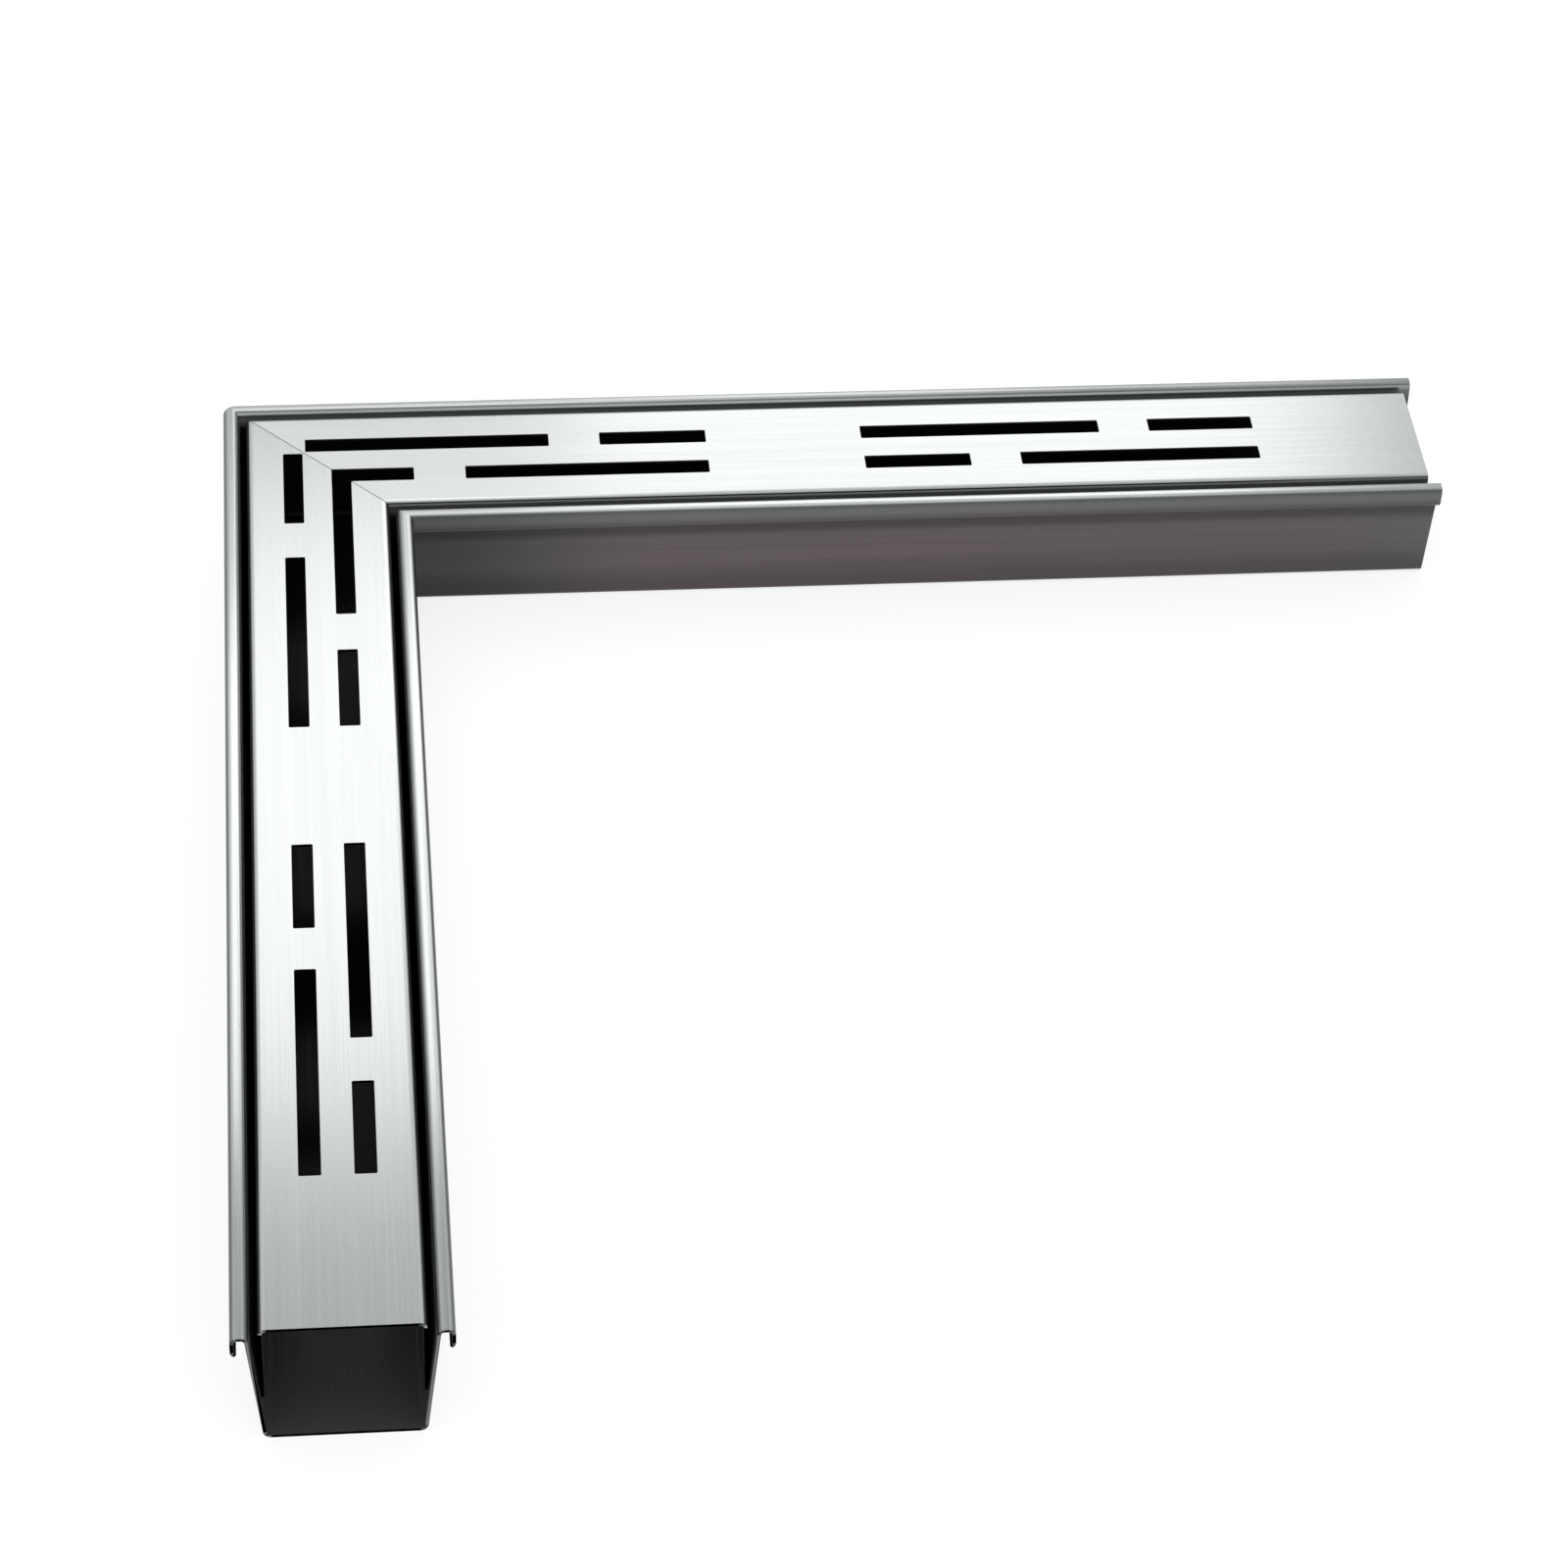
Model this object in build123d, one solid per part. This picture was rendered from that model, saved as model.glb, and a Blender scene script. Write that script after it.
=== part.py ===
from build123d import *
import math
import os

# Linear drain corner: a mitred L of folded stainless sheet with open ends,
# and two slotted covers that meet on the mitre and rest inside it.
# Frame: +Z up, underside at Z = 0, the arms' centre lines cross at the origin.
# The right arm runs along +X and the front arm along -Y.

# Channel
arm_length = 500.0        # outer rim corner to the open end, along each arm
rim_span = 76.0           # across an arm, outside of lip to outside of lip
channel_height = 53.0     # underside to the top of the rim
channel_sheet = 1.2
rim_width = 6.0           # lip's outer face to the wall's inner face
rim_bend = 1.4            # inside radius of the rim's two bends
lip_drop = 8.0            # rim top to the bend of the lip's return
lip_return = 1.8          # length of the return that folds back towards the wall
lip_return_angle = 45.0   # below the horizontal
wall_draft = 5.0          # how far each wall leans in from the rim to the floor
floor_bend = 2.0          # inside radius between wall and floor

# Slotted covers
side_gap = 3.5            # rim's inner edge to the cover's side
cover_drop = 0.5          # rim top to cover top
cover_sheet = 1.2
cover_bend = 1.5          # inside radius of the cover's two folds
cover_setback = 4.0       # open end of the channel to the end of the cover
mitre_gap = 0.3           # between the two covers on the mitre
seat_lift = 0.3           # cover's feet above the line where they would wedge

# Slots: two rows, each group has a long and a short slot in each row
slot_width = 8.0
slot_long = 100.0
slot_short = 44.0
slot_space = 21.0         # between the slots of a group
group_space = 64.5        # between groups
row_spacing = 19.5        # centre to centre
slot_corner = 0.6
mitre_land = 1.05         # outer row's first slot to the mitre, along the arm
end_land = 15.0           # least plain length at the cover's open end

# Derived sizes
rim_half = rim_span / 2
wall_half = rim_half - rim_width
floor_half = wall_half - wall_draft
cover_half = wall_half - side_gap
arm_end = arm_length - rim_half
cover_end = arm_end - cover_setback
cover_top = channel_height - cover_drop
wall_rise = channel_height - channel_sheet
seat_height = max(wall_rise * (1 - side_gap / wall_draft), 0.0) + channel_sheet
cover_foot = seat_height + seat_lift
lip_corner = rim_width - channel_sheet
group_length = slot_long + slot_space + slot_short
group_pitch = group_length + group_space
first_slot = mitre_land - (row_spacing - slot_width) / 2
group_count = int((cover_end - end_land - first_slot + group_space) // group_pitch)

MITRE = Plane(origin=(0, 0, 0), x_dir=(0, 0, 1), z_dir=(1, 1, 0))


def sheet_back(points, sheet):
    """The path of the sheet's other face: each run moved to its right by the sheet, corners mitred."""
    runs = [(Vector(*b) - Vector(*a)).normalized() for a, b in zip(points, points[1:])]
    sides = [Vector(run.Y, -run.X) for run in runs]
    joints = [
        (before + after) / (1 + before.dot(after)) for before, after in zip(sides, sides[1:])
    ]
    return [Vector(*p) + move * sheet for p, move in zip(points, [sides[0], *joints, sides[-1]])]


def bend_turns(points):
    """+1 where the path turns left at a corner and -1 where it turns right."""
    runs = [Vector(*b) - Vector(*a) for a, b in zip(points, points[1:])]
    return [math.copysign(1, before.cross(after).Z) for before, after in zip(runs, runs[1:])]


def folded_section(points, radii, sheet):
    """Section of a folded sheet: one face's path with a radius at each bend, and the other face to its right."""
    front = FilletPolyline(*points, radius=radii)
    back_radii = [r + turn * sheet for r, turn in zip(radii, bend_turns(points))]
    back = FilletPolyline(*sheet_back(points, sheet), radius=back_radii)
    return make_face(front + Line(front @ 1, back @ 1) + back + Line(back @ 0, front @ 0))


def half_arm(section, start, end, mitre_clearance):
    """The section run along +X from start to end, trimmed on the right arm's side of the mitre."""
    bar = extrude(Plane.YZ.offset(start) * section, amount=end - start)
    return split(bar, bisect_by=MITRE.offset(mitre_clearance), keep=Keep.TOP)


def channel_section():
    """Trough section: floor, two leaning walls, rims folded outwards and down, lips returned to the walls."""
    turn = math.radians(lip_return_angle)
    lip_foot = channel_height - lip_drop
    return_end = (rim_half - lip_return * math.cos(turn), lip_foot - lip_return * math.sin(turn))
    right = [
        (floor_half, channel_sheet),
        (wall_half, channel_height),
        (rim_half, channel_height),
        (rim_half, lip_foot),
        return_end,
    ]
    left = [(-u, z) for u, z in reversed(right)]
    rim_outer = rim_bend + channel_sheet
    right_radii = [floor_bend, rim_outer, rim_outer, rim_outer]
    return folded_section(left + right, right_radii[::-1] + right_radii, channel_sheet)


def channel_body():
    """Two trough lengths welded on the mitre, with the lip rounded at the outer corner."""
    section = channel_section()
    right_arm = half_arm(section, -rim_half, arm_end, 0.0)
    body = right_arm + mirror(right_arm, about=MITRE)
    pivot = rim_half - lip_corner
    lip_zone = Pos(pivot, 0) * Rectangle(2 * rim_span, 4 * channel_height, align=(Align.MIN, Align.CENTER))
    lip_section = Plane.YZ.offset(-pivot) * (section & lip_zone)
    corner_lip = revolve(lip_section, Axis((-pivot, pivot, 0), (0, 0, 1)), revolution_arc=90)
    sharp_corner = Pos(-pivot, pivot, 0) * Box(
        rim_span, rim_span, 4 * channel_height, align=(Align.MAX, Align.MIN, Align.CENTER)
    )
    return body - sharp_corner + corner_lip


def slot_row(first, second, row_y):
    """Sketch of one row of slots: the first and second slot of each group along +X."""
    row = Sketch()
    for group in range(group_count):
        start = first_slot + group * group_pitch
        for at, length in ((start, first), (start + first + slot_space, second)):
            row += Pos(at + length / 2, row_y) * RectangleRounded(length, slot_width, slot_corner)
    return row


def slotted_cover(outer_row, inner_row):
    """Inverted folded U along the right arm, mitred at the corner, with its two rows of slots."""
    path = [
        (-cover_half, cover_foot),
        (-cover_half, cover_top),
        (cover_half, cover_top),
        (cover_half, cover_foot),
    ]
    fold = cover_bend + cover_sheet
    section = folded_section(path, [fold, fold], cover_sheet)
    cover = half_arm(section, -cover_half, cover_end, mitre_gap / 2)
    slots = slot_row(*outer_row, row_spacing / 2) + slot_row(*inner_row, -row_spacing / 2)
    return cover - extrude(Pos(0, 0, cover_top) * slots, amount=cover_sheet, both=True)


long_first = (slot_long, slot_short)
short_first = (slot_short, slot_long)
parts = {
    "channel_body": channel_body(),
    "slotted_cover_right": slotted_cover(long_first, short_first),
    "slotted_cover_front": mirror(slotted_cover(short_first, long_first), about=MITRE),
}

os.makedirs("parts", exist_ok=True)
for name, solid in parts.items():
    export_step(solid, f"parts/{name}.step")
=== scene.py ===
import math

import bpy
from mathutils import Matrix, Vector


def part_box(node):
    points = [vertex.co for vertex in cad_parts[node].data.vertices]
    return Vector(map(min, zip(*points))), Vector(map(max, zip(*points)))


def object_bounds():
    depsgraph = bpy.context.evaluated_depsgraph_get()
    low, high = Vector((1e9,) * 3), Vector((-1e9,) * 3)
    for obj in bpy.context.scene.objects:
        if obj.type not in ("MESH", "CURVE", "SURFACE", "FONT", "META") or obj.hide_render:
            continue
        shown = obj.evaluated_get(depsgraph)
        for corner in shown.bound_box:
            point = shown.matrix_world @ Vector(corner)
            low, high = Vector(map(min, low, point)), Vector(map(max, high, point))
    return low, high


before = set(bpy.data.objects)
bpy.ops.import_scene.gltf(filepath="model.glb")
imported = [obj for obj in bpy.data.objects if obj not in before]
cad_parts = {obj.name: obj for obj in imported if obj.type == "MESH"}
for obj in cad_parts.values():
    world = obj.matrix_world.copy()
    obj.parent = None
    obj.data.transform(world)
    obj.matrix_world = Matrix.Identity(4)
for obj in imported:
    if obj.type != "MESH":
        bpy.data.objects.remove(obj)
cad_low, cad_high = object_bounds()


def grey(level, tint=(1.0, 1.0, 1.0)):
    return (level * tint[0], level * tint[1], level * tint[2], 1.0)


# Sizes of the drain in metres, in the part's frame
sheet = 0.0012
rim_width = 0.006
wall_draft = 0.005
lip_height = 0.0093
rim_top = cad_high.z
rim_half = -cad_low.x
arm_end = cad_high.x
lip_foot = rim_top - lip_height
wall_half = rim_half - rim_width
wall_lean = wall_draft / (rim_top - sheet)
cover_low, cover_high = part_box("slotted_cover_right")
cover_top = cover_high.z
cover_end = cover_high.x
cover_half = -cover_low.y

# Camera: the photograph's viewing angle
image_side = 1600
focal_pixels = 4633
sensor_mm = 36.0
view_depth = 50
camera_place = Vector((0.00463, -1.44668, 1.23954))
camera_azimuth = 7.71
camera_elevation = 43.35
camera_roll = 3.45

# Heights between which the covers change tone
fold_band = (cover_top - 0.0010, cover_top)
flank_band = (cover_top - 0.0080, cover_top - 0.0035)
dull_flank_band = (cover_top - 0.0032, cover_top - 0.0014)

# Heights between which the channel changes tone
foot_band = (0.001, 0.020)
lip_shadow_band = (lip_foot - 0.012, lip_foot - 0.006)
lip_band = (lip_foot - 0.0005, lip_foot + 0.0055)
# Bands of the painted highlight on the rim crest, outside and inside
crest_band = (rim_top - 0.0008, rim_top - 0.0001)
inner_crest_band = (rim_top - 0.0024, rim_top - 0.0004)
deep_band = (rim_top - 0.0085, rim_top - 0.0045)
dull_inside_band = (rim_top - 0.0035, rim_top - 0.0018)

# Distances along an arm between which the tone changes
corner_band = (0.04, 0.14)
cast_fade_band = (0.33, 0.46)
rim_corner_band = (0.05, 0.15)
rim_end_band = (0.33, 0.42)
rear_rim_band = (0.24, 0.34)
open_end_band = (arm_end - 0.080, arm_end - 0.045)
cut_depth = 0.00005

# Where the rear rim begins in Y, and how far a face's normal turns to the front
rear_band = (wall_half - 0.001, wall_half + 0.001)
facing_band = (-0.8, -0.4)

# Tones of the steel, with painted light and shade laid on them
black = grey(0.0)
cover_tones = (grey(0.705), grey(0.725))
# Painted shade on the covers' folds and flanks, near black at the foot of the skirt
flank_painted_shade_tones = (grey(0.03), grey(0.16))
cover_cut = grey(0.40)
channel_cut = grey(0.16)
# Painted shade inside the trough and the covers, lighter by the open end
deep_painted_shade = grey(0.010)
open_end_painted_light = grey(0.100, (1.10, 1.0, 1.0))
# Wall tone, darker than the rim crest of the same sheet: partly the steel's own tone, partly painted
# shade
wall_plain = grey(0.15, (1.0, 0.99, 1.0))
# Painted shade on the walls that face the front, darkest by the inner corner
painted_front_shade = grey(0.11, (1.03, 0.99, 1.02))
painted_corner_shade = grey(0.055)
# Purple cast on the front wall, at the level of its painted shade
cast_tones = (grey(0.108, (1.08, 0.97, 1.02)), grey(0.108, (1.15, 0.95, 1.03)))
cast_by_end = 0.25
# Lip tone, and painted shade on the lip's front face by the corner
lip_tones = (grey(0.135), grey(0.095))
# Painted highlight on the rim crests, with painted shade by the corner, the open end and along the
# rear
rim_painted_highlight = grey(0.76)
rim_painted_soft_highlight = grey(0.55)
rim_painted_dim_highlight = grey(0.38)
# Painted shade on the rim's inner bend below the crest
inner_bend_painted_shade = grey(0.22)

# How far streaks and shadows darken the walls
streak_depth = 0.10
lip_shadow_depth = 0.42
foot_shadow_depth = 0.30

# Noise: cells per metre along the arm and across it, and detail
grain_grid = (9.0, 2600.0, 3.0)
streak_grid = (3.0, 260.0, 2.0)
cast_grid = (6.0, 20.0, 1.0)
noise_middle = (0.3, 0.7)

# Finish of the steel
cover_roughness = (0.26, 0.31)
channel_roughness = (0.24, 0.34)
cover_anisotropy = 0.6
channel_anisotropy = 0.5
dulling = 0.8
dull_gloss = 0.15
relief_strength = 0.02
relief_depth = 0.0001

# Floor
floor_reach = 30.0
floor_drop = 0.0002
floor_tone = grey(0.80)
floor_glow = 1.46
glow_share = 0.55

# Room light: even, with a darker patch that the tops mirror
white = grey(1.0)
room_tint = (0.945, 1.0, 1.01, 1.0)
room_level = 0.72
patch_level = 0.47
patch_direction = (0.0, 0.68, 0.73)
patch_band = (0.915, 0.985)

# Sockets of a colour mix, by number because other sockets have the same names
mix_share, mix_first, mix_second, mix_result = 0, 6, 7, 2


def add_camera():
    data = bpy.data.cameras.new("camera")
    data.sensor_width = sensor_mm
    data.lens = focal_pixels / image_side * sensor_mm
    data.clip_end = view_depth
    camera = bpy.data.objects.new("camera", data)
    turn = Matrix.Rotation(math.radians(-camera_azimuth), 4, "Z")
    pitch = Matrix.Rotation(math.radians(90 - camera_elevation), 4, "X")
    roll = Matrix.Rotation(math.radians(camera_roll), 4, "Z")
    camera.matrix_world = Matrix.Translation(camera_place) @ turn @ pitch @ roll
    bpy.context.scene.collection.objects.link(camera)
    bpy.context.scene.camera = camera


class Nodes:
    """Short-hand for building one node tree."""

    def __init__(self, tree):
        self.tree = tree
        tree.nodes.clear()

    def set(self, socket, value):
        if isinstance(value, bpy.types.NodeSocket):
            self.tree.links.new(value, socket)
        else:
            socket.default_value = value

    def add(self, kind, inputs=None, **settings):
        node = self.tree.nodes.new(kind)
        for key, value in settings.items():
            setattr(node, key, value)
        for key, value in (inputs or {}).items():
            self.set(node.inputs[key], value)
        return node

    def math(self, operation, a, b=0.0, c=0.0):
        return self.add("ShaderNodeMath", {0: a, 1: b, 2: c}, operation=operation).outputs[0]

    def plus(self, a, b):
        return self.math("ADD", a, b)

    def minus(self, a, b):
        return self.math("SUBTRACT", a, b)

    def times(self, a, b):
        return self.math("MULTIPLY", a, b)

    def larger(self, a, b):
        return self.math("MAXIMUM", a, b)

    def ramp(self, value, band, low=0.0, high=1.0):
        """An eased step from low to high as the value crosses the band."""
        start, stop = band
        inputs = {"Value": value, "From Min": start, "From Max": stop, "To Min": low, "To Max": high}
        return self.add("ShaderNodeMapRange", inputs, interpolation_type="SMOOTHSTEP").outputs[0]

    def mix(self, share, a, b):
        inputs = {mix_share: share, mix_first: a, mix_second: b}
        return self.add("ShaderNodeMix", inputs, data_type="RGBA").outputs[mix_result]

    def noise(self, place, grid):
        """Noise drawn out along the arm."""
        along, across, detail = grid
        point = self.add("ShaderNodeCombineXYZ", {
            0: self.times(place.along, along),
            1: self.times(place.across, across),
            2: self.times(place.z, across),
        })
        inputs = {"Vector": point.outputs[0], "Scale": 1.0, "Detail": detail}
        return self.add("ShaderNodeTexNoise", inputs).outputs["Fac"]


def new_material(name):
    material = bpy.data.materials.new(name)
    material.use_nodes = True
    return material, Nodes(material.node_tree)


class ArmPlace:
    """Where a point is on its arm: the mitre parts the right arm from the front arm."""

    def __init__(self, n):
        geometry = n.add("ShaderNodeNewGeometry").outputs
        self.normal = geometry["Normal"]
        x, self.y, self.z = n.add("ShaderNodeSeparateXYZ", {0: geometry["Position"]}).outputs
        right = n.math("GREATER_THAN", n.plus(x, self.y), 0.0)
        front = n.minus(1.0, right)
        self.along = n.minus(n.times(x, right), n.times(self.y, front))
        self.across = n.plus(n.times(self.y, right), n.times(x, front))
        grain = n.add("ShaderNodeCombineXYZ", {0: right, 1: front, 2: 0.0}).outputs[0]
        crossed = {0: self.normal, 1: grain}
        turned = n.add("ShaderNodeVectorMath", crossed, operation="CROSS_PRODUCT")
        self.over_grain = turned.outputs[0]


class ChannelPlace(ArmPlace):
    """A point on the channel, with the rear rim, the faces to the front and the corner told apart."""

    def __init__(self, n):
        super().__init__(n)
        self.at_rear = n.ramp(self.y, rear_band)
        facing = n.add("ShaderNodeSeparateXYZ", {0: self.normal}).outputs
        self.faces_front = n.ramp(facing["Y"], facing_band, 1.0, 0.0)
        self.from_corner = n.ramp(self.along, corner_band)


def finish_steel(n, place, colour, dull, roughness, anisotropy):
    """Brushed steel with a fine grain along the arm, and less metallic where it is dull."""
    grain = n.noise(place, grain_grid)
    relief_inputs = {"Height": grain, "Strength": relief_strength, "Distance": relief_depth}
    relief = n.add("ShaderNodeBump", relief_inputs)
    surface = n.add("ShaderNodeBsdfPrincipled", {
        "Base Color": colour,
        "Metallic": n.math("MULTIPLY_ADD", dull, -dulling, 1.0),
        "Roughness": n.ramp(grain, noise_middle, *roughness),
        "Specular IOR Level": dull_gloss,
        "Anisotropic": anisotropy,
        "Tangent": place.over_grain,
        "Normal": relief.outputs[0],
    })
    n.add("ShaderNodeOutputMaterial", {0: surface.outputs[0]})


def painted_inside_shade(n, place):
    """Painted shade of the inside: near black deep in, with painted light where the open end lets
    light in.
    """
    return n.mix(n.ramp(place.along, open_end_band), deep_painted_shade, open_end_painted_light)


def cut_end(n, place, end):
    """1 on the cut edge of the sheet at the open end."""
    return n.math("GREATER_THAN", place.along, end - cut_depth)


def cover_steel():
    """Bright brushed top, with painted shade round the folds, on the flanks and inside, where the
    steel is also duller.
    """
    material, n = new_material("brushed_cover_steel")
    place = ArmPlace(n)
    top = n.mix(n.ramp(n.noise(place, streak_grid), noise_middle), *cover_tones)
    # Painted shade down the folds and flanks
    flank = n.mix(n.ramp(place.z, flank_band), *flank_painted_shade_tones)
    outside = n.mix(n.ramp(place.z, fold_band), flank, top)
    under = n.math("LESS_THAN", place.z, cover_top - sheet / 2)
    between = n.math("LESS_THAN", n.math("ABSOLUTE", place.across), cover_half - sheet / 2)
    within = n.times(under, between)
    cut = cut_end(n, place, cover_end)
    colour = n.mix(cut, n.mix(within, outside, painted_inside_shade(n, place)), cover_cut)
    sheltered = n.larger(within, n.ramp(place.z, dull_flank_band, 1.0, 0.0))
    dull = n.times(sheltered, n.minus(1.0, cut))
    finish_steel(n, place, colour, dull, cover_roughness, cover_anisotropy)
    return material


def front_wall_painted_shade(n, place):
    """Wall that faces the front, in painted shade: darkest by the corner, with a faint purple cast
    along its middle.
    """
    warm = n.mix(n.ramp(n.noise(place, cast_grid), noise_middle), *cast_tones)
    to_end = n.ramp(place.along, cast_fade_band, 1.0, cast_by_end)
    cast = n.mix(n.times(place.from_corner, to_end), painted_front_shade, warm)
    return n.mix(place.from_corner, painted_corner_shade, cast)


def rim_painted_light(n, place):
    """Painted highlight on the crest of the rims: softer by the corner and the open end, and dimmer
    along the rear.
    """
    by_corner = n.ramp(place.along, rim_corner_band, 1.0, 0.0)
    by_end = n.ramp(place.along, rim_end_band)
    near_rim = n.mix(n.larger(by_corner, by_end), rim_painted_highlight, rim_painted_soft_highlight)
    rear_rim = n.mix(n.ramp(place.along, rear_rim_band), rim_painted_soft_highlight, rim_painted_dim_highlight)
    return n.mix(place.at_rear, near_rim, rear_rim)


def outer_tone(n, place, crest):
    """Outside of the channel: wall in partly painted shade, dimmer at its foot and under the lip,
    then lip and crest.
    """
    wall = n.mix(place.faces_front, wall_plain, front_wall_painted_shade(n, place))
    streaks = n.ramp(n.noise(place, streak_grid), noise_middle, 0.0, streak_depth)
    streaked = n.mix(streaks, wall, black)
    lip_shadow = n.times(n.ramp(place.z, lip_shadow_band), lip_shadow_depth)
    foot_shadow = n.ramp(place.z, foot_band, foot_shadow_depth, 0.0)
    lower = n.mix(n.larger(lip_shadow, foot_shadow), streaked, black)
    lip_painted_corner_shade = n.times(place.faces_front, n.minus(1.0, place.from_corner))
    outside = n.mix(n.ramp(place.z, lip_band), lower, n.mix(lip_painted_corner_shade, *lip_tones))
    return n.mix(n.ramp(place.z, crest_band), outside, crest)


def inner_tone(n, place, crest):
    """Inside of the channel: the crest with its painted highlight, painted shade on the rim's inner
    bend, and the trough below in painted shade.
    """
    bend = n.mix(n.ramp(place.z, inner_crest_band), inner_bend_painted_shade, crest)
    return n.mix(n.ramp(place.z, deep_band, 1.0, 0.0), bend, painted_inside_shade(n, place))


def channel_steel():
    """Rims with a painted highlight, walls partly in painted shade, and a duller inside in painted
    shade.
    """
    material, n = new_material("brushed_channel_steel")
    place = ChannelPlace(n)
    crest = rim_painted_light(n, place)
    fall = n.times(n.minus(rim_top, place.z), wall_lean)
    sheet_middle = n.minus(wall_half + sheet / 2, fall)
    depth = n.minus(sheet_middle, n.math("ABSOLUTE", place.across))
    within = n.math("GREATER_THAN", depth, 0.0)
    cut = cut_end(n, place, arm_end)
    steel = n.mix(within, outer_tone(n, place, crest), inner_tone(n, place, crest))
    colour = n.mix(cut, steel, channel_cut)
    below_rim = n.ramp(place.z, dull_inside_band, 1.0, 0.0)
    dull = n.times(n.times(within, below_rim), n.minus(1.0, cut))
    finish_steel(n, place, colour, dull, channel_roughness, channel_anisotropy)
    return material


def dress(node, material):
    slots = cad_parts[node].data.materials
    slots.clear()
    slots.append(material)


def add_floor():
    mesh = bpy.data.meshes.new("floor")
    level = Vector((0, 0, cad_low.z - floor_drop))
    side = floor_reach
    corners = [(-side, -side, 0), (side, -side, 0), (side, side, 0), (-side, side, 0)]
    mesh.from_pydata([Vector(corner) + level for corner in corners], [], [(0, 1, 2, 3)])
    floor = bpy.data.objects.new("floor", mesh)
    bpy.context.scene.collection.objects.link(floor)
    material, n = new_material("pale_floor")
    path = n.add("ShaderNodeLightPath").outputs
    bounced = n.larger(path["Is Glossy Ray"], path["Is Transmission Ray"])
    seen = n.larger(path["Is Camera Ray"], bounced)
    paint = n.add("ShaderNodeBsdfDiffuse", {"Color": floor_tone}).outputs[0]
    glow = n.add("ShaderNodeEmission", {"Color": white, "Strength": floor_glow}).outputs[0]
    lifted = n.add("ShaderNodeMixShader", {0: glow_share, 1: paint, 2: glow}).outputs[0]
    shown = n.add("ShaderNodeMixShader", {0: seen, 1: paint, 2: lifted})
    n.add("ShaderNodeOutputMaterial", {0: shown.outputs[0]})
    mesh.materials.append(material)


def add_softbox(name, place, target, width, height, radiance):
    data = bpy.data.lights.new(name, "AREA")
    data.shape = "RECTANGLE"
    data.size = width
    data.size_y = height
    data.energy = radiance * math.pi * width * height
    lamp = bpy.data.objects.new(name, data)
    lamp.location = place
    lamp.rotation_euler = (Vector(target) - Vector(place)).to_track_quat("-Z", "Y").to_euler()
    lamp.visible_camera = False
    bpy.context.scene.collection.objects.link(lamp)


def add_light():
    world = bpy.data.worlds.new("studio")
    world.use_nodes = True
    bpy.context.scene.world = world
    n = Nodes(world.node_tree)
    seen = n.add("ShaderNodeLightPath").outputs["Is Camera Ray"]
    direction = n.add("ShaderNodeTexCoord").outputs["Generated"]
    compared = {0: direction, 1: patch_direction}
    toward = n.add("ShaderNodeVectorMath", compared, operation="DOT_PRODUCT")
    level = n.ramp(toward.outputs["Value"], patch_band, room_level, patch_level)
    room = n.add("ShaderNodeBackground", {"Color": room_tint, "Strength": level}).outputs[0]
    backdrop = n.add("ShaderNodeBackground", {"Color": white, "Strength": 1.0}).outputs[0]
    shown = n.add("ShaderNodeMixShader", {0: seen, 1: room, 2: backdrop})
    n.add("ShaderNodeOutputWorld", {0: shown.outputs[0]})
    add_softbox("front_arm_softbox", place=(-0.04, 0.386, 0.60), target=(-0.04, 0.386, 0.0),
                width=0.40, height=0.513, radiance=1.03)
    add_softbox("right_arm_softbox", place=(0.39, 0.70, 0.60), target=(0.39, 0.70, 0.0),
                width=0.47, height=0.56, radiance=1.25)
    add_softbox("fill_softbox", place=(0.3, -2.4, 1.05), target=(0.2, 0.0, 0.0),
                width=1.6, height=0.7, radiance=0.35)


dress("channel_body", channel_steel())
cover_material = cover_steel()
dress("slotted_cover_right", cover_material)
dress("slotted_cover_front", cover_material)
add_floor()
add_light()
add_camera()
bpy.context.scene.view_settings.view_transform = "Standard"
